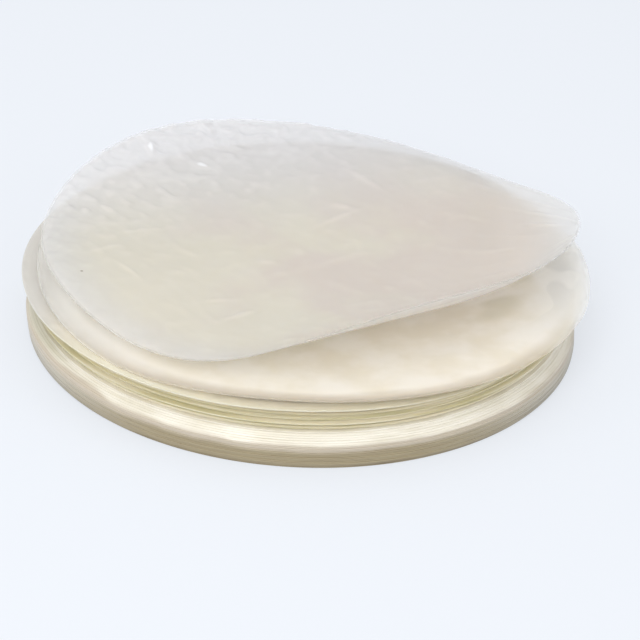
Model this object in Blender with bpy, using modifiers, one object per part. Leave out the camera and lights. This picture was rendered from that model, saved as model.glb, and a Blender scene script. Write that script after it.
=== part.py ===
"""A stack of round rice paper wrappers, as it lies on a table.

Metres, +Z up. The stack's axis is Z, its underside is at Z = 0 and the front is at -Y.
From the bottom up: a pressed pack whose rims follow one smooth outline, a looser run with smaller
rims, a full-size wrapper that overhangs them, one that has slipped to the right, and a curled one
on top.
"""

import math

import bpy

MM = 0.001

# Each wrapper
RADIUS = 110.0 * MM  # a 22 cm wrapper
THICKNESS = 0.33 * MM
SPOKES = 48
RING_CROWDING = 0.65  # under 1 puts a bent wrapper's rings closer together towards its rim

# Pressed pack
PRESSED_COUNT = 22
PRESSED_PITCH = 0.60 * MM
FOOT_HEIGHT = 2.4 * MM  # the lowest rims draw in a little
FOOT_INSET = 0.9 * MM
SHOULDER_START = 9.4 * MM  # the highest rims draw in as one slope
SHOULDER_END = 13.2 * MM
SHOULDER_INSET = 4.4 * MM

# Looser run above it
LOOSE_COUNT = 13
LOOSE_START = 13.45 * MM
LOOSE_PITCH = 0.79 * MM
LOOSE_INSET = 5.0 * MM
LOOSE_SPREAD = 0.7 * MM  # how far the rims vary
LOOSE_SHIFT = 0.5 * MM  # how far the wrappers lie off the middle
PROUD_INDEX = 4  # one of them sticks out
PROUD_INSET = 2.6 * MM

# Full-size wrapper over the loose run
UPPER_LEVEL = 23.85 * MM
LEAN = -2.2 * MM  # how far the stack leans along X from its foot up to that wrapper

# Slipped wrapper: a shallow dish, wavy on the right, that lies flat and bulges at the front left
SLIP = (4.0 * MM, 2.0 * MM)  # its middle
SLIP_LEVEL = 24.70 * MM
SLIP_DISH = 2.75 * MM
SLIP_DROOP = 1.5 * MM
SLIP_WAVE = 0.45 * MM
SLIP_WAVES = 9
SLIP_REST = (234.0, 14)  # direction in degrees in which it lies flat, how narrowly
SLIP_BULGE = (226.0, 8, 2.8 * MM)  # where its outline is out of round, how narrowly, how much
SLIP_RINGS = 4

# Curled wrapper: a shallow bowl with waves around its rim, from its own middle
CURL_MIDDLE = (3.1 * MM, 10.7 * MM)
CURL_RINGS = 11
CURL_LEVEL = 25.75 * MM
CURL_BOWL = (15.0 * MM, 3.0)  # height at the rim, steepness
CURL_WAVES = (  # how many around the rim, height, direction of a crest in degrees, steepness
    (1, 12.4 * MM, 311.0, 5.0),
    (2, 12.8 * MM, 136.0, 5.2),
    (3, 2.3 * MM, 73.0, 2.0),
    (4, 2.4 * MM, 27.0, 5.0),
    (5, 1.6 * MM, 0.0, 2.0),
)


def clear_scene():
    for old in list(bpy.data.objects):
        bpy.data.objects.remove(old, do_unlink=True)


def make_material(name, colour, roughness=0.45):
    material = bpy.data.materials.new(name)
    material.use_nodes = True
    shader = material.node_tree.nodes["Principled BSDF"]
    shader.inputs["Base Color"].default_value = (*colour, 1.0)
    shader.inputs["Roughness"].default_value = roughness
    return material


def spun_object(name, profile, collection, material):
    """One object spun about Z from a profile of (radius, height) points."""
    mesh = bpy.data.meshes.new(name)
    points = [(radius, 0.0, height) for radius, height in profile]
    mesh.from_pydata(points, [(i, i + 1) for i in range(len(points) - 1)], [])
    obj = bpy.data.objects.new(name, mesh)
    collection.objects.link(obj)
    screw = obj.modifiers.new("Screw", "SCREW")
    screw.steps = screw.render_steps = SPOKES
    screw.use_merge_vertices = True
    screw.merge_threshold = 0.00001
    screw.use_smooth_shade = True
    obj.data.materials.append(material)
    return obj


def flat_wrapper(name, level, low_radius, high_radius, offset, collection, material):
    """A flat wrapper with its underside at a level. Its rim runs from one radius to another."""
    top = level + THICKNESS
    profile = [(0.0, top), (high_radius, top), (low_radius, level), (0.0, level)]
    obj = spun_object(name, profile, collection, material)
    obj.location = (offset[0], offset[1], 0.0)
    return obj


def pack_radius(height):
    """The pressed pack's radius at a height: drawn-in foot, upright wall, sloping shoulder."""
    if height < FOOT_HEIGHT:
        return RADIUS - FOOT_INSET * (1.0 - height / FOOT_HEIGHT) ** 2
    if height > SHOULDER_START:
        rise = (height - SHOULDER_START) / (SHOULDER_END - SHOULDER_START)
        return RADIUS - SHOULDER_INSET * rise
    return RADIUS


def lean(level):
    """How far along X the stack's middle is at a level."""
    return LEAN * level / UPPER_LEVEL


def flat_disc(name, rings, collection, material):
    """A disc of rings and spokes about the origin, as a real mesh."""
    profile = [(RADIUS * (i / rings) ** RING_CROWDING, 0.0) for i in range(rings + 1)]
    spun = spun_object(name + "_disc", profile, collection, material)
    bpy.context.view_layer.update()
    mesh = bpy.data.meshes.new_from_object(
        spun.evaluated_get(bpy.context.evaluated_depsgraph_get())
    )
    bpy.data.objects.remove(spun, do_unlink=True)
    obj = bpy.data.objects.new(name, mesh)
    collection.objects.link(obj)
    return obj


def thicken(obj):
    shell = obj.modifiers.new("Thickness", "SOLIDIFY")
    shell.thickness = THICKNESS
    shell.offset = 0.0
    for face in obj.data.polygons:
        face.use_smooth = True


def slipped_height(x, y):
    """The slipped wrapper's height over its own middle."""
    reach = math.hypot(x, y) / RADIUS
    angle = math.atan2(y, x)
    right = max(0.0, math.cos(angle + math.radians(12.0))) ** 2
    flat = max(0.0, math.cos(angle - math.radians(SLIP_REST[0]))) ** SLIP_REST[1]
    edge = reach**4
    wave = SLIP_WAVE * math.sin(SLIP_WAVES * angle) * edge**2
    height = SLIP_LEVEL + SLIP_DISH * (1.0 - flat) * edge
    return height + right * (wave - SLIP_DROOP * reach**8)


def slipped_point(x, y):
    """Where a point of the flat wrapper goes."""
    reach = math.hypot(x, y) / RADIUS
    near = max(0.0, math.cos(math.atan2(y, x) - math.radians(SLIP_BULGE[0]))) ** SLIP_BULGE[1]
    wider = 1.0 + SLIP_BULGE[2] / RADIUS * near * reach**6
    return x * wider + SLIP[0], y * wider + SLIP[1], slipped_height(x, y)


def curled_height(x, y):
    """The curled wrapper's height at a point of its plan, from its own middle."""
    reach = math.hypot(x, y) / RADIUS
    angle = math.atan2(y, x)
    height = CURL_LEVEL + CURL_BOWL[0] * reach ** CURL_BOWL[1]
    for count, size, crest, steepness in CURL_WAVES:
        wave = math.cos(count * (angle - math.radians(crest)))
        height += size * wave * reach**steepness
    return height


def curled_point(x, y):
    """Where a point of the flat wrapper goes: the same distance from the middle, along the surface."""
    reach = math.hypot(x, y)
    if reach < 1e-9:
        return 0.0, 0.0, curled_height(0.0, 0.0)
    towards = (x / reach, y / reach)
    steps = max(2, round(40 * reach / RADIUS))
    step = reach / steps
    out = 0.0
    probe = 0.2 * MM
    for _ in range(steps):
        middle = out + 0.45 * step
        rise = curled_height(towards[0] * (middle + probe), towards[1] * (middle + probe))
        rise -= curled_height(towards[0] * (middle - probe), towards[1] * (middle - probe))
        slope = rise / (2 * probe)
        out += step / math.sqrt(1.0 + slope * slope)
    px, py = towards[0] * out, towards[1] * out
    return px, py, curled_height(px, py)


def main():
    clear_scene()
    stack = bpy.data.collections.new("rice_paper_wrapper_stack")
    bpy.context.scene.collection.children.link(stack)

    pressed = make_material("pressed_rice_paper", (0.62, 0.57, 0.46))
    loose = make_material("loose_rice_paper", (0.74, 0.70, 0.60))
    clear = make_material("translucent_rice_paper", (0.80, 0.77, 0.72), 0.35)

    for i in range(PRESSED_COUNT):
        level = i * PRESSED_PITCH
        flat_wrapper(
            f"pressed_wrapper_{i + 1:02d}",
            level,
            pack_radius(level),
            pack_radius(level + THICKNESS),
            (lean(level), 0.0),
            stack,
            pressed,
        )

    for i in range(LOOSE_COUNT):
        level = LOOSE_START + i * LOOSE_PITCH
        vary = LOOSE_SPREAD * math.sin(2.4 * i + 0.6)
        radius = RADIUS - LOOSE_INSET + vary
        if i == PROUD_INDEX:
            radius = RADIUS - PROUD_INSET
        shift = LOOSE_SHIFT * math.sin(1.7 * i)
        offset = (lean(level) + shift, LOOSE_SHIFT * math.cos(2.9 * i))
        flat_wrapper(
            f"loose_wrapper_{i + 1:02d}", level, radius, radius, offset, stack, loose
        )

    flat_wrapper("upper_wrapper", UPPER_LEVEL, RADIUS, RADIUS, (LEAN, 0.0), stack, loose)

    slipped = flat_disc("slipped_wrapper", SLIP_RINGS, stack, clear)
    for vertex in slipped.data.vertices:
        x, y, _ = vertex.co
        vertex.co = slipped_point(x, y)
    thicken(slipped)

    curled = flat_disc("curled_wrapper", CURL_RINGS, stack, clear)
    for vertex in curled.data.vertices:
        x, y, _ = vertex.co
        px, py, height = curled_point(x, y)
        vertex.co = (px + CURL_MIDDLE[0], py + CURL_MIDDLE[1], height)
    thicken(curled)


main()
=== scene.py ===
"""A stack of round rice paper wrappers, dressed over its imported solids.

Metres, +Z up, in the solids' own frame: the underside is at Z = 0 and the front is at -Y.
From the bottom up: a pressed pack, a looser run, a full-size wrapper that overhangs them, one that
has slipped to the right, and a curled, half-clear one on top.
"""

from __future__ import annotations

import logging
import math
import sys
from dataclasses import dataclass
from enum import Enum
from typing import Callable

import bmesh
import bpy
import numpy as np
from mathutils import Matrix, Vector


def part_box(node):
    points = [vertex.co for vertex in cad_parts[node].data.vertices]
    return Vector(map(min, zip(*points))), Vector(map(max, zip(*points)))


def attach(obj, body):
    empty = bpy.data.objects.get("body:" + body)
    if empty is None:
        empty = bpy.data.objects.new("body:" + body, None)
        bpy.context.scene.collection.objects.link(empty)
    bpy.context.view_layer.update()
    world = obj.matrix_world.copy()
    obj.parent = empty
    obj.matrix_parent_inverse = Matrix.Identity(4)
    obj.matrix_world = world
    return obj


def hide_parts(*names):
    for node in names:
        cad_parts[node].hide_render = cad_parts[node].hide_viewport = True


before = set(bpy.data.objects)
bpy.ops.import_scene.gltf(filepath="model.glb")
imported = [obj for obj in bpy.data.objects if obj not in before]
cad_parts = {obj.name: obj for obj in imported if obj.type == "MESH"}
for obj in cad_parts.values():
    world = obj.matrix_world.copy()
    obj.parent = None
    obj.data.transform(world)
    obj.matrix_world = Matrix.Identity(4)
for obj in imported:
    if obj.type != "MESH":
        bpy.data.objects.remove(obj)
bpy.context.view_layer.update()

MM = 0.001
RADIUS = 110.0 * MM
HAIR = 0.1 * MM  # less than lies between two points of a sheet
RIM_SHARE = 0.4  # a sheet's thickness at its rim, as a share of the rest
BODY = "root"
LOG = logging.getLogger("wrapper_stack")

Colour = tuple[float, float, float]
Field = np.ndarray


def tint(red: int, green: int, blue: int) -> Colour:
    """A colour from its screen values.

    Args:
        red: Red from 0 to 255.
        green: Green from 0 to 255.
        blue: Blue from 0 to 255.

    Returns:
        The linear colour that a shader takes.
    """
    shares = (part / 255.0 for part in (red, green, blue))
    return tuple(
        share / 12.92 if share <= 0.04045 else ((share + 0.055) / 1.055) ** 2.4
        for share in shares
    )


def eased(value: Field, low: float, high: float) -> Field:
    """A smooth step between two values.

    Args:
        value: What is compared.
        low: Where the step starts, at 0.
        high: Where it ends, at 1.

    Returns:
        The step's height, from 0 to 1.
    """
    share = np.clip((value - low) / (high - low), 0.0, 1.0)
    return share * share * (3.0 - 2.0 * share)


# ---------------------------------------------------------------------------------------------
# Shaders
# ---------------------------------------------------------------------------------------------


@dataclass(frozen=True)
class Value:
    """A number on a shader socket. Python's operators on it add Math nodes."""

    recipe: "Recipe"
    socket: bpy.types.NodeSocket

    def _math(self, operation: str, first: object, second: object) -> "Value":
        """Adds one Math node."""
        return self.recipe.add(
            "ShaderNodeMath", {"operation": operation}, {0: first, 1: second}
        )

    def __add__(self, other: object) -> "Value":
        """self + other"""
        return self._math("ADD", self, other)

    def __radd__(self, other: object) -> "Value":
        """other + self"""
        return self._math("ADD", other, self)

    def __sub__(self, other: object) -> "Value":
        """self - other"""
        return self._math("SUBTRACT", self, other)

    def __rsub__(self, other: object) -> "Value":
        """other - self"""
        return self._math("SUBTRACT", other, self)

    def __mul__(self, other: object) -> "Value":
        """self * other"""
        return self._math("MULTIPLY", self, other)

    def __rmul__(self, other: object) -> "Value":
        """other * self"""
        return self._math("MULTIPLY", other, self)


class Recipe:
    """One material's nodes."""

    def __init__(self, name: str) -> None:
        """Starts an empty material.

        Args:
            name: The material's name.
        """
        self.material = bpy.data.materials.new(name)
        self.material.use_nodes = True
        self.tree = self.material.node_tree
        self.tree.nodes.clear()

    def add(
        self,
        kind: str,
        settings: dict[str, object] | None = None,
        sockets: dict[str | int, object] | None = None,
        result: str | int = 0,
    ) -> Value:
        """Adds a node.

        Args:
            kind: The node's type.
            settings: Its settings, set first.
            sockets: Values or links for its inputs, by name or number.
            result: The output that is wanted.

        Returns:
            That output.
        """
        node = self.tree.nodes.new(kind)
        for name, setting in (settings or {}).items():
            setattr(node, name, setting)
        for name, value in (sockets or {}).items():
            if isinstance(value, Value):
                self.tree.links.new(value.socket, node.inputs[name])
            else:
                node.inputs[name].default_value = value
        return Value(self, node.outputs[result])

    def noise(self, where: Value, size: float, detail: float = 2.0) -> Value:
        """Soft cloudy noise.

        Args:
            where: The coordinates that it reads.
            size: About how far apart its clouds are, in metres.
            detail: How many finer layers it has.

        Returns:
            A value from 0 to 1, mostly near 0.5.
        """
        return self.add(
            "ShaderNodeTexNoise", None, {"Vector": where, "Scale": 1.0 / size, "Detail": detail}
        )

    def flattened(self, where: Value, times: float) -> Value:
        """Coordinates on which a pattern comes out so many times flatter than it is wide."""
        return self.add(
            "ShaderNodeMapping", None, {"Vector": where, "Scale": (1.0, 1.0, times)}
        )

    def step(self, value: Value, low: float, high: float) -> Value:
        """A smooth step from 0 at low to 1 at high, which may be the lower number."""
        return self.add(
            "ShaderNodeMapRange",
            {"interpolation_type": "SMOOTHSTEP", "clamp": True},
            {"Value": value, "From Min": low, "From Max": high},
        )

    def blend(self, share: object, first: object, second: object) -> Value:
        """A mix of two colours.

        Args:
            share: How much of the second.
            first: A colour or a link.
            second: A colour or a link.

        Returns:
            The mixed colour.
        """
        first, second = (
            value if isinstance(value, Value) else (*value, 1.0) for value in (first, second)
        )
        return self.add(
            "ShaderNodeMix",
            {"data_type": "RGBA"},
            {0: share, 6: first, 7: second},
            2,
        )

    def surface(self, sockets: dict[str, object]) -> Value:
        """Adds a main shader.

        Args:
            sockets: Its values and links.

        Returns:
            The shader.
        """
        return self.add("ShaderNodeBsdfPrincipled", None, sockets)

    def paper(self, spread: float, sockets: dict[str, object]) -> Value:
        """Adds the shader of thin paper, which light spreads in and comes through.

        Args:
            spread: About how far the light spreads.
            sockets: The shader's other values and links.

        Returns:
            The shader.
        """
        depth = {
            "Subsurface Weight": 1.0,
            "Subsurface Radius": (1.0, 1.0, 1.0),
            "Subsurface Scale": spread,
        }
        return self.surface(depth | sockets)

    def finish(self, surface: Value) -> bpy.types.Material:
        """Adds the output.

        Args:
            surface: The shader that it shows.

        Returns:
            The finished material.
        """
        output = self.tree.nodes.new("ShaderNodeOutputMaterial")
        self.tree.links.new(surface.socket, output.inputs["Surface"])
        return self.material


class Clarity(Enum):
    """How much of a wrapper light goes through, by the record's slot."""

    PRESSED = "pressed_paper"
    LOOSE = "loose_paper"
    CLEAR = "clear_paper"


@dataclass(frozen=True)
class PackPaper:
    """The rims of many wrappers together: dense and olive low down, pale and glossy above; the
    dark low band is partly painted shade and the pale shoulder partly a painted highlight.
    """

    # Colours by height: foot, wall and waist are the denser paper's olive and also painted shade,
    # darker towards the foot.
    foot: Colour = tint(130, 116, 87)
    wall: Colour = tint(158, 144, 114)
    waist: Colour = tint(200, 188, 169)
    # Painted highlight: the pale shoulder band, and the brighter clouds on it.
    shoulder: Colour = tint(232, 225, 208)
    painted_gleam: Colour = tint(243, 237, 223)
    # Painted light: the wall's two sides paler, less so low down.
    side: Colour = tint(202, 196, 183)
    low_side: Colour = tint(156, 150, 136)
    # Painted shade: the dull, olive shoulder at the far left.
    far_left: Colour = tint(198, 192, 170)
    layer: Colour = tint(188, 176, 140)
    # Heights between which the wall, the pale side, the waist and the shoulder come in.
    wall_band: tuple[float, float] = (0.2 * MM, 1.8 * MM)
    side_band: tuple[float, float] = (0.5 * MM, 6.0 * MM)
    waist_band: tuple[float, float] = (5.8 * MM, 8.0 * MM)
    shoulder_band: tuple[float, float] = (8.7 * MM, 10.5 * MM)
    wandering: float = 3.0 * MM  # how far those heights vary around the pack
    # Places along X between which the wall pales with painted light, on both sides, and, towards
    # the far left, the shoulder's painted highlight narrows and gives way to painted shade, and
    # its gloss drops.
    side_reach: tuple[float, float] = (40.0 * MM, 100.0 * MM)
    narrow_reach: tuple[float, float] = (-60.0 * MM, -80.0 * MM)
    dull_and_shaded_reach: tuple[float, float] = (-80.0 * MM, -98.0 * MM)
    narrowing: float = 1.2 * MM
    side_share: float = 0.8
    layer_share: float = 0.24
    # How many times flatter than wide the shine's clouds and the wrappers' layers are.
    sheen_flatness: float = 3.0
    layer_flatness: float = 22.0
    slot: Clarity = Clarity.PRESSED

    def material(self) -> bpy.types.Material:
        """The pack's material, with its colours laid by height and, at the sides, along X, painted
        shade and light among them.

        Returns:
            The material.
        """
        recipe = Recipe("pressed_rice_paper")
        place = recipe.add("ShaderNodeTexCoord", result="Object")
        level = recipe.add("ShaderNodeSeparateXYZ", None, {0: place}, "Z")
        across = recipe.add("ShaderNodeSeparateXYZ", None, {0: place}, "X")
        sides = recipe.step(across * across, *(reach * reach for reach in self.side_reach))
        dull_and_shaded = recipe.step(across, *self.dull_and_shaded_reach)
        cloud = recipe.noise(place, 26 * MM)
        level = level + (cloud - 0.5) * self.wandering
        # Painted light on the wall's two sides.
        side = recipe.blend(recipe.step(level, *self.side_band), self.low_side, self.side)
        # Painted shade, with the denser paper's own olive: darker towards the foot, lighter at the
        # waist.
        colour = recipe.blend(recipe.step(level, *self.wall_band), self.foot, self.wall)
        colour = recipe.blend(sides * self.side_share, colour, side)
        colour = recipe.blend(recipe.step(level, *self.waist_band), colour, self.waist)
        narrowing = recipe.step(across, *self.narrow_reach) * self.narrowing
        # Painted highlight on the shoulder band, narrowed towards the far left.
        shoulder = recipe.step(level - narrowing, *self.shoulder_band)
        colour = recipe.blend(shoulder, colour, self.shoulder)
        # Sheen clouds: a painted highlight in the colour, and real gloss in the coat.
        sheen = recipe.noise(recipe.flattened(place, self.sheen_flatness), 20 * MM)
        sheen = recipe.step(sheen, 0.32, 0.68)
        colour = recipe.blend(shoulder * sheen, colour, self.painted_gleam)
        # Painted shade at the far left in place of the highlight.
        colour = recipe.blend(shoulder * dull_and_shaded, colour, self.far_left)
        layer = recipe.noise(recipe.flattened(place, self.layer_flatness), 16 * MM, 3.0)
        streak = recipe.step(layer, 0.42, 0.72) * self.layer_share
        colour = recipe.blend(streak, colour, self.layer)
        grain = recipe.noise(place, 1.6 * MM, 3.0)
        bump = recipe.add(
            "ShaderNodeBump",
            None,
            {"Strength": 0.5, "Distance": 0.3 * MM, "Height": layer + 0.2 * grain},
        )
        return recipe.finish(
            recipe.surface(
                {
                    "Base Color": colour,
                    "Roughness": 0.28 + 0.18 * layer,
                    "Normal": bump,
                    "Coat Weight": 0.4 + 0.6 * shoulder * sheen * (1.0 - dull_and_shaded),
                    "Coat Roughness": 0.20,
                }
            )
        )


@dataclass(frozen=True)
class LoosePaper:
    """The rims of the looser run: thin, dull and a little olive, each a shade of its own; their
    darkness is partly painted shade of the recess under the upper wrapper.
    """

    # Both tones are partly painted shade of the recess under the upper wrapper.
    deep: Colour = tint(205, 197, 160)
    pale: Colour = tint(227, 218, 194)
    layer_flatness: float = 60.0  # how many times flatter than wide the shades are
    slot: Clarity = Clarity.LOOSE

    def material(self) -> bpy.types.Material:
        """The run's material.

        Returns:
            The material.
        """
        recipe = Recipe("loose_rice_paper")
        place = recipe.add("ShaderNodeTexCoord", result="Object")
        layer = recipe.noise(recipe.flattened(place, self.layer_flatness), 40 * MM)
        colour = recipe.blend(recipe.step(layer, 0.35, 0.65), self.deep, self.pale)
        grain = recipe.noise(place, 1.6 * MM, 3.0)
        bump = recipe.add(
            "ShaderNodeBump", None, {"Strength": 0.25, "Distance": 0.1 * MM, "Height": grain}
        )
        return recipe.finish(
            recipe.paper(
                0.5 * MM,
                {"Base Color": colour, "Roughness": 0.36 + 0.12 * layer, "Normal": bump},
            )
        )


@dataclass(frozen=True)
class SheetPaper:
    """One wrapper's finish: paper that is clearer at its rim and denser on its ridges, with
    painted light and shade in its colour.
    """

    name: str
    slot: Clarity
    # Colours: two in soft clouds, one at the rim, and one towards the coolest side, which is
    # painted light and shade: the tone that light on and through the sheet gives that side.
    pale: Colour
    warm: Colour
    rim: Colour
    cool: Colour
    cool_way: float  # direction in degrees in which the paper is coolest
    cool_reach: tuple[float, float] = (5.0 * MM, 95.0 * MM)  # where it starts and is complete
    cool_both_ends: bool = False  # whether the opposite side is as cool
    warm_lean: float = 0.0  # how much more of the warm colour there is for each metre to the right
    cloud_size: float = 34.0 * MM
    rim_width: float = 17.0 * MM
    # Opacity of one face, and what is added to it at the rim, on ridges and on the cool side.
    density: float = 1.0
    rim_density: float = -0.15
    ridge_density: float = 0.12
    cool_density: float = 0.12
    edge_fade: float = 0.0  # how much clearer the paper is right at its edge
    edge_width: float = 2.5 * MM
    roughness: float = 0.42
    spread: float = 0.4 * MM  # about how far light spreads in it
    # Heights of the relief between which a ridge, a painted glint on a blister and a patch of
    # painted shade on a crease come in.
    ridge_relief: tuple[float, float] = (0.1, 0.9)
    painted_glint_relief: tuple[float, float] = (1.25, 1.75)
    shade_patch_relief: tuple[float, float] = (2.2, 4.0)
    painted_glint: Colour | None = None  # the colour of painted glints on its highest blisters
    shade_patch: Colour | None = None  # the colour of painted shade in patches on its creases
    shade_patch_share: float = 0.7
    speck: tuple[float, float] | None = None  # where it has a dark speck
    speck_reach: tuple[float, float] = (0.8 * MM, 0.3 * MM)
    speck_share: float = 0.8
    speck_colour: Colour = tint(96, 84, 60)

    def material(self) -> bpy.types.Material:
        """The wrapper's material, which follows the flat sheet's own coordinates.

        Returns:
            The material.
        """
        recipe = Recipe(self.name)
        flat = recipe.add("ShaderNodeAttribute", {"attribute_name": "flat"}, None, "Vector")
        relief = recipe.add("ShaderNodeAttribute", {"attribute_name": "relief"}, None, "Fac")
        reach = recipe.add("ShaderNodeVectorMath", {"operation": "LENGTH"}, {0: flat}, "Value")
        rim = recipe.step(reach, RADIUS - self.rim_width, RADIUS + 1.0 * MM)
        cloud = recipe.noise(flat, self.cloud_size, 3.0)
        grain = recipe.noise(flat, 1.3 * MM, 3.0)
        right = recipe.add("ShaderNodeSeparateXYZ", None, {0: flat}, "X")
        warmth = recipe.step(cloud + right * self.warm_lean, 0.35, 0.65)
        colour = recipe.blend(rim, recipe.blend(warmth, self.pale, self.warm), self.rim)
        way = math.radians(self.cool_way)
        towards = recipe.add(
            "ShaderNodeVectorMath",
            {"operation": "DOT_PRODUCT"},
            {0: flat, 1: (math.cos(way), math.sin(way), 0.0)},
            "Value",
        )
        if self.cool_both_ends:
            near, far = self.cool_reach
            cool = recipe.step(towards * towards, near * near, far * far)
        else:
            cool = recipe.step(towards, *self.cool_reach)
        # Painted light and shade: the cool tone towards one side.
        colour = recipe.blend(cool, colour, self.cool)
        # Painted shade in patches on the creases.
        if self.shade_patch:
            crease_shade = recipe.step(relief, *self.shade_patch_relief) * self.shade_patch_share
            colour = recipe.blend(crease_shade, colour, self.shade_patch)
        # Painted glints on the highest blisters.
        if self.painted_glint:
            colour = recipe.blend(recipe.step(relief, *self.painted_glint_relief), colour, self.painted_glint)
        if self.speck:
            away = recipe.add(
                "ShaderNodeVectorMath",
                {"operation": "DISTANCE"},
                {0: flat, 1: (*self.speck, 0.0)},
                "Value",
            )
            spot = recipe.step(away, *self.speck_reach) * self.speck_share
            colour = recipe.blend(spot, colour, self.speck_colour)
        bump = recipe.add(
            "ShaderNodeBump", None, {"Strength": 0.30, "Distance": 0.08 * MM, "Height": grain}
        )
        sockets = {
            "Base Color": colour,
            "Roughness": self.roughness + 0.14 * cloud,
            "Normal": bump,
            "Coat Weight": 0.35,
            "Coat Roughness": 0.13,
        }
        ridges = recipe.step(relief, *self.ridge_relief)
        dense = self.density + self.rim_density * rim + self.ridge_density * ridges
        dense = recipe.add("ShaderNodeClamp", None, {0: dense + self.cool_density * cool})
        edge = recipe.step(reach, RADIUS - self.edge_width, RADIUS)
        sockets["Alpha"] = dense * (1.0 - self.edge_fade * edge)
        return recipe.finish(recipe.paper(self.spread, sockets))


# ---------------------------------------------------------------------------------------------
# Modelling
# ---------------------------------------------------------------------------------------------


def start_fresh() -> None:
    """Deselects every object, so that an operator acts on the new one alone."""
    bpy.ops.object.select_all(action="DESELECT")


def select_points(test: Callable[[Vector], bool]) -> None:
    """Selects the points of the mesh in edit mode that pass a test, and what they span.

    Args:
        test: Takes a point's place and says whether it is wanted.
    """
    mesh = bmesh.from_edit_mesh(bpy.context.edit_object.data)
    bpy.ops.mesh.select_all(action="DESELECT")
    for point in mesh.verts:
        if test(point.co):
            point.select = True
    mesh.select_flush(True)
    bmesh.update_edit_mesh(bpy.context.edit_object.data)


def even_disc(name: str, around: int) -> bpy.types.Object:
    """A flat round sheet of near-square faces, all of about one size.

    Args:
        name: The object's name.
        around: How many points its rim has, a multiple of four.

    Returns:
        The sheet, about the origin.
    """
    start_fresh()
    bpy.ops.mesh.primitive_circle_add(
        vertices=around, radius=RADIUS, fill_type="NOTHING", enter_editmode=True
    )
    bpy.ops.mesh.fill_grid(span=around // 4)
    bpy.ops.mesh.normals_make_consistent(inside=False)
    bpy.ops.object.mode_set(mode="OBJECT")
    sheet = bpy.context.active_object
    sheet.name = name
    return sheet


def points_of(piece: bpy.types.Object) -> Field:
    """Reads a piece's points.

    Args:
        piece: The piece.

    Returns:
        Its points, one row each.
    """
    points = np.zeros(len(piece.data.vertices) * 3)
    piece.data.vertices.foreach_get("co", points)
    return points.reshape(-1, 3)


def move_points(piece: bpy.types.Object, points: Field) -> None:
    """Puts a piece's points, one row each, in new places."""
    piece.data.vertices.foreach_set("co", points.ravel())
    piece.data.update()


def thicken(piece: bpy.types.Object, thickness: float, inner: list[int]) -> None:
    """Gives a sheet its thickness, half on each side, and thins it at its rim.

    Args:
        piece: The sheet.
        thickness: How thick it becomes.
        inner: The points that aren't on its rim.
    """
    bpy.context.view_layer.objects.active = piece
    full = piece.vertex_groups.new(name="full")
    full.add(inner, 1.0, "REPLACE")
    shell = piece.modifiers.new("Thickness", "SOLIDIFY")
    shell.thickness = thickness
    shell.offset = 0.0
    shell.vertex_group = full.name
    shell.thickness_vertex_group = RIM_SHARE
    bpy.ops.object.modifier_apply(modifier=shell.name)
    start_fresh()
    piece.select_set(True)
    bpy.ops.object.shade_smooth_by_angle(angle=math.radians(50.0))


def place_in_stack(
    piece: bpy.types.Object, node: str, finish: bpy.types.Material
) -> None:
    """Hands a finished piece to the frame in the place of its solid.

    Args:
        piece: The piece.
        node: The solid that it stands for.
        finish: Its material.
    """
    piece.data.materials.clear()
    piece.data.materials.append(finish)
    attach(piece, BODY)
    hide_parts(node)
    LOG.info("%s: %d faces, for %s", piece.name, len(piece.data.polygons), node)


def chance(first: Field, second: Field, seed: float) -> Field:
    """A number from 0 to 1 for each pair of whole numbers, always the same one."""
    number = np.sin(first * 12.9898 + second * 78.233 + seed * 3.7) * 43758.5453
    return number - np.floor(number)


def lumps(x: Field, y: Field, size: float, seed: float) -> Field:
    """Soft random lumps.

    Args:
        x: Places along X.
        y: Places along Y.
        size: About how far apart the lumps are.
        seed: Which pattern of lumps it is.

    Returns:
        Heights from 0 to 1.
    """
    column, row = np.floor(x / size), np.floor(y / size)
    right, up = (eased(part, 0.0, 1.0) for part in (x / size - column, y / size - row))
    near = chance(column, row, seed) * (1.0 - right) + chance(column + 1.0, row, seed) * right
    far = chance(column, row + 1.0, seed) * (1.0 - right)
    far = far + chance(column + 1.0, row + 1.0, seed) * right
    return near * (1.0 - up) + far * up


@dataclass(frozen=True)
class Fold:
    """One fold or blister of a sheet, by its place on the flat sheet."""

    x: float
    y: float
    way: float  # direction in degrees in which it runs
    length: float
    width: float
    height: float  # as a share of the sheet's depth

    def rise(self, x: Field, y: Field) -> Field:
        """How high it stands over a flat sheet.

        Args:
            x: Places along X, in metres.
            y: Places along Y.

        Returns:
            Heights, 0 away from it.
        """
        way = math.radians(self.way)
        east, north = x - self.x, y - self.y
        along = (east * math.cos(way) + north * math.sin(way)) / self.length
        across = (north * math.cos(way) - east * math.sin(way)) / self.width
        return self.height * np.exp(-4.0 * (along**2 + across**2))


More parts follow.
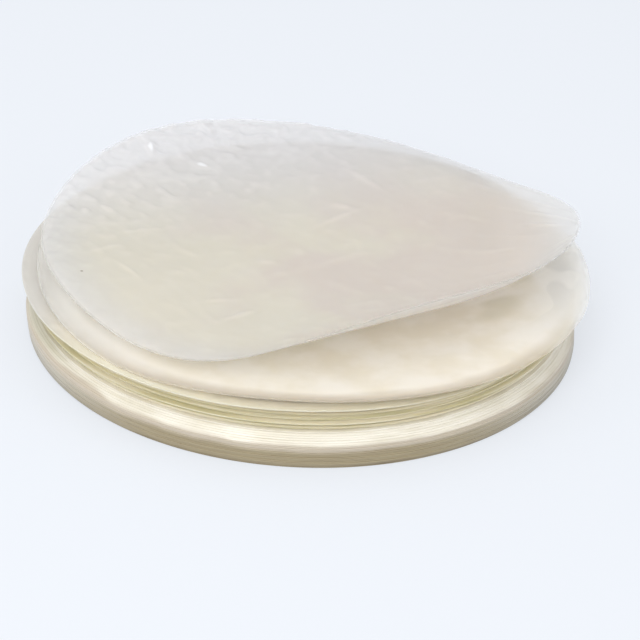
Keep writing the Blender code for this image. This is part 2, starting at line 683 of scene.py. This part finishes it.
@dataclass(frozen=True)
class MatPrint:
    """What the drying mat's diamond lattice leaves in a wrapper: two families of thin ridges."""

    strips: tuple[float, float] = (math.radians(29.0), math.radians(-53.0))
    pitch: float = 12.0 * MM
    narrowness: float = 4.5
    drift: float = 9.0 * MM  # how far the lattice wanders, and over what distance
    drift_size: float = 30.0 * MM
    stretch: float = 7.5 * MM  # about how far a ridge goes before it fades or rises again
    cushion: float = 9.0 * MM  # the size of the soft lumps under the lattice
    seed: float = 0.0

    def height(self, x: Field, y: Field) -> Field:
        """The print's height over a flat sheet.

        Args:
            x: Places along X, in metres.
            y: Places along Y.

        Returns:
            Heights from 0 to 1.
        """
        seed = self.seed
        bent_x = x + self.drift * lumps(x, y, self.drift_size, seed + 5.0)
        bent_y = y + self.drift * lumps(x, y, self.drift_size, seed + 9.0)
        across = [
            (bent_y * math.cos(way) - bent_x * math.sin(way)) / self.pitch for way in self.strips
        ]
        height = np.zeros_like(x)
        for own, other in ((0, 1), (1, 0)):
            line, along = np.round(across[own]), across[other] * self.pitch
            row = 50 * MM * line + 3.0 * own
            strength = lumps(along, row, self.stretch, seed) ** 2.2
            bend = 0.5 * lumps(along, row, 20 * MM, seed + 3.0) - 0.25
            ridge = np.abs(np.cos(math.pi * (across[own] - line - bend))) ** self.narrowness
            height = np.maximum(height, strength * ridge)
        return 0.75 * height + 0.5 * lumps(x, y, self.cushion, seed + 7.0)


# ---------------------------------------------------------------------------------------------
# The stack
# ---------------------------------------------------------------------------------------------


@dataclass
class RimRun:
    """Wrappers that show only their rims: one is modelled, and the rest are copies of it."""

    stem: str
    count: int
    sides: int
    thickness: float
    waviness: float
    finish: PackPaper | LoosePaper
    rounding: float = 0.36  # of the rim, as a share of the thickness
    rim_ring: float = 8.0 * MM  # width of the ring of faces inside the rim
    unevenness: float = 0.10 * MM  # how far the rim is out of round

    def node(self, index: int) -> str:
        """The name of the solid at a place in the run, from 0."""
        return f"{self.stem}_{index + 1:02d}"

    def model_first(self) -> bpy.types.Object:
        """One flat wrapper with a rounded rim, its underside at Z = 0.

        Returns:
            The wrapper that the run is copied from.
        """
        start_fresh()
        bpy.ops.mesh.primitive_cylinder_add(
            vertices=self.sides,
            radius=RADIUS,
            depth=self.thickness,
            location=(0.0, 0.0, self.thickness / 2.0),
            enter_editmode=True,
        )
        bpy.ops.mesh.select_mode(type="FACE")
        mesh = bmesh.from_edit_mesh(bpy.context.edit_object.data)
        for face in mesh.faces:
            face.select = abs(face.normal.z) > 0.9
        bmesh.update_edit_mesh(bpy.context.edit_object.data)
        bpy.ops.mesh.inset(thickness=self.rim_ring)
        bpy.ops.mesh.select_mode(type="VERT")
        select_points(lambda point: point.xy.length > RADIUS - self.rim_ring / 2.0)
        bpy.ops.mesh.bevel(offset=self.rounding * self.thickness, segments=2, affect="EDGES")
        bpy.ops.object.mode_set(mode="OBJECT")
        first = bpy.context.active_object
        bpy.ops.object.transform_apply(location=True, rotation=True, scale=True)
        bpy.ops.object.shade_smooth_by_angle(angle=math.radians(40.0))
        return first

    def build(self) -> list[bpy.types.Object]:
        """Copies the first wrapper to every place in the run, at its solid's size.

        Returns:
            The run's wrappers, from the bottom up.
        """
        first = self.model_first()
        shape = points_of(first)
        boxes = [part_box(self.node(i)) for i in range(self.count)]
        radii = [(high.x - low.x) / 2.0 for low, high in boxes]
        pieces = []
        for i, (low, high) in enumerate(boxes):
            piece = first.copy()
            piece.data = first.data.copy()
            piece.name = self.node(i).replace("wrapper", "rim")
            bpy.context.collection.objects.link(piece)
            above = radii[min(i + 1, self.count - 1)]
            pieces.append(piece)
            move_points(piece, self.shaped(shape, i, low, high, radii[i], above))
        bpy.data.objects.remove(first, do_unlink=True)
        return pieces

    def shaped(
        self,
        shape: Field,
        index: int,
        low: Vector,
        high: Vector,
        radius: float,
        above: float,
    ) -> Field:
        """One wrapper's points at its own size and place.

        Args:
            shape: The first wrapper's points.
            index: Its place in the run.
            low: Its solid's lowest corner.
            high: Its solid's highest corner.
            radius: Its rim's radius at the underside.
            above: The next wrapper's radius, which its own rim runs to.

        Returns:
            The points.
        """
        points = shape.copy()
        angle = np.arctan2(points[:, 1], points[:, 0])
        rise = points[:, 2] / self.thickness
        reach = np.hypot(points[:, 0], points[:, 1]) / RADIUS
        rim = radius + min(0.0, above - radius) * rise
        rim = rim + self.unevenness * np.sin(3.0 * angle + 1.9 * index)
        points[:, 0] = rim * reach * np.cos(angle) + (low.x + high.x) / 2.0
        points[:, 1] = rim * reach * np.sin(angle) + (low.y + high.y) / 2.0
        wave = np.sin(7.0 * angle + 0.12 * index) + 0.6 * np.sin(12.0 * angle + 0.16 * index)
        points[:, 2] += low.z + self.waviness * wave * eased(reach, 0.90, 1.0)
        return points

    def dress(self, pieces: list[bpy.types.Object]) -> None:
        """Gives the run its finish and hands it to the frame.

        Args:
            pieces: The run's wrappers, from the bottom up.
        """
        paper = self.finish.material()
        for i, piece in enumerate(pieces):
            place_in_stack(piece, self.node(i), paper)


@dataclass
class Sheet:
    """A wrapper whose face shows. It starts flat, is bent, printed by the mat and thickened."""

    node: str
    around: int
    finish: SheetPaper
    mat: MatPrint
    thickness: float = 0.33 * MM
    depth: float = 0.10 * MM

    def place(self, x: Field, y: Field) -> Field:
        """Where the flat sheet's points go.

        Args:
            x: Their places along X on the flat sheet.
            y: Their places along Y.

        Returns:
            Their places in the stack, one row each.
        """
        low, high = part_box(self.node)
        middle = (low + high) / 2.0
        return np.stack([x + middle.x, y + middle.y, np.full_like(x, middle.z)], axis=1)

    def relief(self, x: Field, y: Field) -> Field:
        """How high the paper's print and wrinkles stand, 1 being the wrapper's depth."""
        return 0.7 * self.mat.height(x, y)

    def build(self) -> bpy.types.Object:
        """The finished wrapper.

        Returns:
            The wrapper, in its place.
        """
        sheet = even_disc(self.node.replace("wrapper", "sheet"), self.around)
        flat = points_of(sheet)
        x, y = flat[:, 0], flat[:, 1]
        points = self.place(x, y)
        across = self.place(x + HAIR / 2.0, y) - points
        along = self.place(x, y + HAIR / 2.0) - points
        normals = np.cross(across, along)
        normals /= np.linalg.norm(normals, axis=1, keepdims=True)
        relief = self.relief(x, y)
        points += normals * (self.depth * relief)[:, None]
        move_points(sheet, points)
        flats = sheet.data.attributes.new("flat", "FLOAT_VECTOR", "POINT")
        flats.data.foreach_set("vector", flat.ravel())
        reliefs = sheet.data.attributes.new("relief", "FLOAT", "POINT")
        reliefs.data.foreach_set("value", relief)
        inner = np.flatnonzero(np.hypot(x, y) < RADIUS - HAIR)
        thicken(sheet, self.thickness, inner.tolist())
        return sheet

    def dress(self, sheet: bpy.types.Object) -> None:
        """Gives the wrapper its finish and hands it to the frame."""
        place_in_stack(sheet, self.node, self.finish.material())


@dataclass
class UpperWrapper(Sheet):
    """The flat full-size wrapper over the loose run, with a slightly wavy rim."""

    wave: float = 0.12 * MM
    waves: int = 8

    def place(self, x: Field, y: Field) -> Field:
        """Where the flat sheet's points go.

        Args:
            x: Their places along X on the flat sheet.
            y: Their places along Y.

        Returns:
            Their places in the stack, one row each.
        """
        points = super().place(x, y)
        reach = np.hypot(x, y) / RADIUS
        angle = np.arctan2(y, x)
        points[:, 2] += self.wave * np.sin(self.waves * angle + 0.7) * eased(reach, 0.8, 1.0)
        return points


@dataclass
class SlippedWrapper(Sheet):
    """The wrapper that has slipped to the right: a shallow dish, wavy and drooping there.

    It lies flat at the front left, where its outline is a little out of round.
    """

    middle: tuple[float, float] = (4.0 * MM, 2.0 * MM)
    level: float = 24.70 * MM
    dish: float = 2.75 * MM
    droop: float = 1.5 * MM
    wave: float = 0.45 * MM
    waves: int = 9
    rest: tuple[float, int] = (234.0, 14)  # direction in degrees, how narrowly
    bulge: tuple[float, int, float] = (226.0, 8, 2.8 * MM)  # the same, and how much
    # The relief's parts: how high, 1 being the wrapper's depth, and the size of their lumps.
    streaks: tuple[float, float] = (0.8, 24.0 * MM)
    puffs: tuple[float, float] = (5.0, 11.0 * MM)
    creases: tuple[float, float] = (5.0, 9.0 * MM)

    def place(self, x: Field, y: Field) -> Field:
        """Where the flat sheet's points go.

        Args:
            x: Their places along X on the flat sheet.
            y: Their places along Y.

        Returns:
            Their places in the stack, one row each.
        """
        reach = np.hypot(x, y) / RADIUS
        angle = np.arctan2(y, x)
        right = np.maximum(0.0, np.cos(angle + math.radians(12.0))) ** 2
        flat = np.maximum(0.0, np.cos(angle - math.radians(self.rest[0]))) ** self.rest[1]
        edge = reach**4
        wave = self.wave * np.sin(self.waves * angle) * edge**2
        height = self.level + self.dish * (1.0 - flat) * edge
        height = height + right * (wave - self.droop * reach**8)
        near = np.maximum(0.0, np.cos(angle - math.radians(self.bulge[0]))) ** self.bulge[1]
        wider = 1.0 + self.bulge[2] / RADIUS * near * reach**6
        return np.stack(
            [x * wider + self.middle[0], y * wider + self.middle[1], height], axis=1
        )

    def relief(self, x: Field, y: Field) -> Field:
        """How high the print, the streaks along the rim and the creases at the right stand.

        Args:
            x: Places along X on the flat sheet.
            y: Places along Y.

        Returns:
            Heights, 1 being the wrapper's depth.
        """
        reach = np.hypot(x, y) / RADIUS
        angle = np.arctan2(y, x)
        rim = eased(reach, 0.70, 0.95)
        right = eased(x / RADIUS, 0.40, 0.90)
        height, size = self.streaks
        streaks = height * lumps(angle * RADIUS, reach * 7.0 * RADIUS, size, 3.0)
        height, size = self.puffs
        puffs = height * right * lumps(angle * RADIUS, reach * 1.4 * RADIUS, size, 6.0)
        height, size = self.creases
        creases = height * lumps(0.5 * x - y, 0.4 * (x + y), size, 2.0)
        creases = creases * eased(x / RADIUS, 0.25, 0.7) * (1.0 - 0.7 * rim)
        return super().relief(x, y) * (1.0 - rim) + rim * (streaks - puffs) + creases


@dataclass
class CurledWrapper(Sheet):
    """The curled wrapper on top: a shallow bowl with waves around its rim."""

    middle: tuple[float, float] = (3.1 * MM, 10.7 * MM)
    level: float = 25.75 * MM
    bowl: tuple[float, float] = (15.0 * MM, 3.0)  # height at the rim, steepness
    tip_way: float = math.radians(-8.0)  # direction of its raised tip
    pleats: float = 6.0  # how many there are on each side of the tip's middle
    coarse: float = 4.6 * MM  # sizes of its crinkles
    fine: float = 2.7 * MM
    steps: int = 40  # in which its length is laid along the bowl
    folds: tuple[Fold, ...] = (
        Fold(-57 * MM, 82 * MM, 4.0, 9 * MM, 3.5 * MM, 1.5),
        Fold(-49 * MM, 63 * MM, -25.0, 9 * MM, 4.5 * MM, 1.7),
        Fold(-94 * MM, 13 * MM, 20.0, 3 * MM, 3.0 * MM, 1.3),
        Fold(-87 * MM, 18 * MM, -30.0, 8 * MM, 3.0 * MM, 1.3),
        Fold(-62 * MM, 36 * MM, -42.0, 15 * MM, 3.5 * MM, 1.1),
        Fold(-69 * MM, 4 * MM, 28.0, 20 * MM, 3.0 * MM, 0.9),
        Fold(-82 * MM, -17 * MM, 45.0, 16 * MM, 3.0 * MM, 0.7),
        Fold(-72 * MM, -34 * MM, -48.0, 14 * MM, 3.0 * MM, 0.9),
        Fold(-26 * MM, -59 * MM, 42.0, 16 * MM, 3.0 * MM, 1.1),
        Fold(-35 * MM, -49 * MM, 22.0, 12 * MM, 3.0 * MM, 0.9),
        Fold(11 * MM, 39 * MM, -20.0, 9 * MM, 4.0 * MM, 1.0),
        Fold(10 * MM, 30 * MM, 43.0, 22 * MM, 3.5 * MM, 0.8),
        Fold(21 * MM, 61 * MM, -46.0, 20 * MM, 3.5 * MM, 0.8),
        Fold(-18 * MM, -13 * MM, 10.0, 7 * MM, 4.0 * MM, 0.8),
    )
    # How many around the rim, height, direction of a crest in degrees, steepness.
    waves: tuple[tuple[int, float, float, float], ...] = (
        (1, 12.4 * MM, 311.0, 5.0),
        (2, 12.8 * MM, 136.0, 5.2),
        (3, 2.3 * MM, 73.0, 2.0),
        (4, 2.4 * MM, 27.0, 5.0),
        (5, 1.6 * MM, 0.0, 2.0),
    )

    def surface(self, x: Field, y: Field) -> Field:
        """The bowl's height at places of its plan.

        Args:
            x: Places along X from its own middle.
            y: Places along Y.

        Returns:
            Heights over the table.
        """
        reach = np.hypot(x, y) / RADIUS
        angle = np.arctan2(y, x)
        height = self.level + self.bowl[0] * reach ** self.bowl[1]
        for count, size, crest, steepness in self.waves:
            wave = np.cos(count * (angle - math.radians(crest)))
            height = height + size * wave * reach**steepness
        return height

    def place(self, x: Field, y: Field) -> Field:
        """Where the flat sheet's points go: as far from the middle as before, along the bowl.

        Args:
            x: Their places along X on the flat sheet.
            y: Their places along Y.

        Returns:
            Their places in the stack, one row each.
        """
        reach = np.maximum(np.hypot(x, y), 1e-9)
        towards_x, towards_y = x / reach, y / reach
        step = reach / self.steps
        probe = 2.0 * HAIR
        out = np.zeros_like(reach)
        for _ in range(self.steps):
            middle = out + 0.45 * step
            far, near = middle + probe, middle - probe
            rise = self.surface(towards_x * far, towards_y * far)
            rise = rise - self.surface(towards_x * near, towards_y * near)
            out = out + step / np.sqrt(1.0 + (rise / (2 * probe)) ** 2)
        px, py = towards_x * out, towards_y * out
        height = self.surface(px, py)
        return np.stack([px + self.middle[0], py + self.middle[1], height], axis=1)

    def crinkled(self, x: Field, y: Field, back_left: Field) -> Field:
        """How high the crinkles stand.

        Args:
            x: Places along X on the flat sheet.
            y: Places along Y.
            back_left: How far at the back left each place is, from 0 to 1.

        Returns:
            Heights, some below 0.
        """
        reach = np.hypot(x, y) / RADIUS
        crinkles = lumps(x + 0.4 * y, y - 0.2 * x, self.coarse, 1.0)
        crinkles = crinkles + 0.5 * lumps(x, y, self.fine, 2.0) - 0.75
        return crinkles * (0.15 + back_left * (1.2 + 0.4 * eased(reach, 0.8, 1.0)))

    def pleated(self, along: Field, aside: Field) -> Field:
        """How high the pleats stand, which converge towards the tip.

        Args:
            along: Places along the direction of the tip.
            aside: Places across it.

        Returns:
            Heights from 0.
        """
        share = aside / np.sqrt(np.maximum(RADIUS**2 - along**2, (0.25 * RADIUS) ** 2))
        across = share * self.pleats + 0.5 * lumps(along, share * 60 * MM, 22 * MM, 8.0)
        line = np.round(across)
        strength = 0.1 + 1.2 * lumps(along, line * 50 * MM, 15 * MM, 4.0) ** 2
        return 0.8 * strength * np.abs(np.cos(math.pi * (across - line))) ** 6.0

    def relief(self, x: Field, y: Field) -> Field:
        """How high the print, the crinkles, the tip's pleats and the folds stand.

        Args:
            x: Places along X on the flat sheet.
            y: Places along Y.

        Returns:
            Heights, 1 being the wrapper's depth.
        """
        back_left = eased((y - x) / RADIUS, 0.2, 1.35)
        east, north = math.cos(self.tip_way), math.sin(self.tip_way)
        along, aside = x * east + y * north, y * east - x * north
        tip = eased(along / RADIUS, 0.30, 0.75)
        print_height = self.mat.height(x, y) * (0.45 + 0.45 * back_left)
        relief = print_height * (1.0 - tip) + self.pleated(along, aside) * tip
        folds = 0.8 * sum(fold.rise(x, y) for fold in self.folds)
        return relief + self.crinkled(x, y, back_left) + folds


# ---------------------------------------------------------------------------------------------
# The studio
# ---------------------------------------------------------------------------------------------


@dataclass(frozen=True)
class SoftLight:
    """One square soft light, by its place, its side in metres and its power in watts."""

    name: str
    place: Vector
    size: float
    power: float


@dataclass
class Studio:
    """A pale floor, soft lights and the camera."""

    floor_colour: Colour = (0.25, 0.259, 0.273)
    floor_glow: float = 2.33
    world_colour: Colour = (0.93, 0.955, 1.0)
    world_strength: float = 0.74
    elevation: float = math.radians(29.35)
    distance: float = 0.88
    roll: float = math.radians(3.12)
    lens: float = 122.08
    target: Vector = Vector((-2.2 * MM, 0.0, 0.0))
    aside: tuple[float, float] = (9.45 * MM, -0.41 * MM)
    lit: Vector = Vector((0.0, 0.0, 0.02))  # what the lights point at
    lights: tuple[SoftLight, ...] = (
        SoftLight("overhead", Vector((-0.15, 0.45, 1.6)), 1.7, 5.0),
        SoftLight("front_high", Vector((-0.25, -0.62, 1.10)), 0.5, 3.0),
        SoftLight("front_low", Vector((-0.35, -1.00, 0.66)), 0.45, 3.8),
        SoftLight("side_left", Vector((-1.00, -0.62, 0.60)), 0.5, 1.2),
        SoftLight("side_right", Vector((1.00, -0.50, 0.60)), 0.5, 1.5),
    )

    def lay_floor(self) -> None:
        """Lays the floor under the stack."""
        start_fresh()
        bpy.ops.mesh.primitive_plane_add(size=6.0)
        floor = bpy.context.active_object
        floor.name = "floor"
        recipe = Recipe("floor")
        place = recipe.add("ShaderNodeTexCoord", result="Object")
        cloud = recipe.noise(place, 0.4)
        colour = recipe.blend(cloud, self.floor_colour, tuple(0.99 * c for c in self.floor_colour))
        floor.data.materials.append(
            recipe.finish(
                recipe.surface(
                    {
                        "Base Color": colour,
                        "Roughness": 0.9,
                        "Specular IOR Level": 0.1,
                        "Emission Color": colour,
                        "Emission Strength": self.floor_glow,
                    }
                )
            )
        )

    def hang_light(self, light: SoftLight) -> None:
        """Hangs one of the lights.

        Args:
            light: Which one.
        """
        start_fresh()
        bpy.ops.object.light_add(type="AREA", location=light.place)
        lamp = bpy.context.active_object
        lamp.name = light.name
        lamp.data.shape = "SQUARE"
        lamp.data.size = light.size
        lamp.data.energy = light.power
        lamp.rotation_mode = "QUATERNION"
        lamp.rotation_quaternion = (self.lit - light.place).to_track_quat("-Z", "Y")

    def light_world(self) -> None:
        """Sets the even light from all around."""
        world = bpy.data.worlds.new("studio")
        bpy.context.scene.world = world
        world.use_nodes = True
        sky = world.node_tree.nodes["Background"]
        sky.inputs["Color"].default_value = (*self.world_colour, 1.0)
        sky.inputs["Strength"].default_value = self.world_strength

    def stand_camera(self) -> None:
        """Stands the camera in front of the stack and above it, turned a little on its axis."""
        out = Vector((0.0, -math.cos(self.elevation), math.sin(self.elevation)))
        level = (-out).to_track_quat("-Z", "Y").to_matrix()
        turned = level @ Matrix.Rotation(self.roll, 3, "Z")
        aim = self.target + turned.col[0] * self.aside[0] + turned.col[1] * self.aside[1]
        bpy.ops.object.camera_add(location=aim + out * self.distance)
        camera = bpy.context.active_object
        camera.name = "camera"
        camera.rotation_mode = "QUATERNION"
        camera.rotation_quaternion = turned.to_quaternion()
        camera.data.lens = self.lens
        camera.data.sensor_width = 36.0
        camera.data.clip_start = 0.05
        bpy.context.scene.camera = camera

    def build(self) -> None:
        """Builds the studio."""
        self.lay_floor()
        for light in self.lights:
            self.hang_light(light)
        self.light_world()
        self.stand_camera()
        bpy.context.scene.view_settings.view_transform = "Standard"
        LOG.info("studio: floor, %d soft lights, camera", len(self.lights))


def main() -> None:
    """Builds and dresses the stack from the bottom up, then the studio around it."""
    logging.basicConfig(level=logging.INFO, format="%(message)s", stream=sys.stdout)
    upper = SheetPaper(
        "upper_rice_paper",
        Clarity.LOOSE,
        pale=tint(230, 222, 204),
        warm=tint(233, 224, 208),
        rim=tint(221, 213, 189),
        # Painted shade: greyer and darker towards the far left rim.
        cool=tint(199, 195, 187),
        cool_way=180.0,
        cool_reach=(76.0 * MM, 101.0 * MM),
        rim_density=-0.2,
        rim_width=8.0 * MM,
        spread=0.9 * MM,
    )
    slipped = SheetPaper(
        "slipped_rice_paper",
        Clarity.CLEAR,
        pale=tint(244, 236, 223),
        warm=tint(234, 225, 207),
        rim=tint(222, 211, 192),
        # Painted light: paler and cooler towards both ends.
        cool=tint(240, 237, 230),
        cool_way=8.0,
        cool_reach=(66.0 * MM, 106.0 * MM),
        cool_both_ends=True,
        rim_density=-0.55,
        cool_density=-0.15,
        rim_width=9.0 * MM,
        cloud_size=20.0 * MM,
        edge_fade=0.3,
        # Painted shade in patches on its creases at the right.
        shade_patch=tint(214, 207, 186),
    )
    curled = SheetPaper(
        "curled_rice_paper",
        Clarity.CLEAR,
        pale=tint(231, 226, 212),
        warm=tint(226, 217, 208),
        rim=tint(225, 223, 219),
        # Painted light and shade: cooler and greyer at the back, where it stands clear of the
        # stack.
        cool=tint(224, 222, 221),
        cool_way=112.0,
        rim_density=-0.10,
        rim_width=26.0 * MM,
        edge_fade=0.98,
        edge_width=2.2 * MM,
        density=0.52,
        ridge_density=0.07,
        cloud_size=48.0 * MM,
        warm_lean=2.5,
        # Painted glints on its highest blisters.
        painted_glint=tint(250, 250, 250),
        speck=(-89.0 * MM, -41.0 * MM),
    )
    runs = (
        RimRun("pressed_wrapper", 22, 256, 0.59 * MM, 0.0, PackPaper()),
        RimRun("loose_wrapper", 13, 240, 0.76 * MM, 0.08 * MM, LoosePaper()),
    )
    for run in runs:
        run.dress(run.build())
    sheets = (
        UpperWrapper("upper_wrapper", 400, upper, MatPrint(seed=1.0)),
        SlippedWrapper("slipped_wrapper", 480, slipped, MatPrint(seed=2.4), depth=0.20 * MM),
        CurledWrapper("curled_wrapper", 840, curled, MatPrint(seed=0.6), depth=0.60 * MM),
    )
    for sheet in sheets:
        sheet.dress(sheet.build())
    Studio().build()


if __name__ == "__main__":
    main()
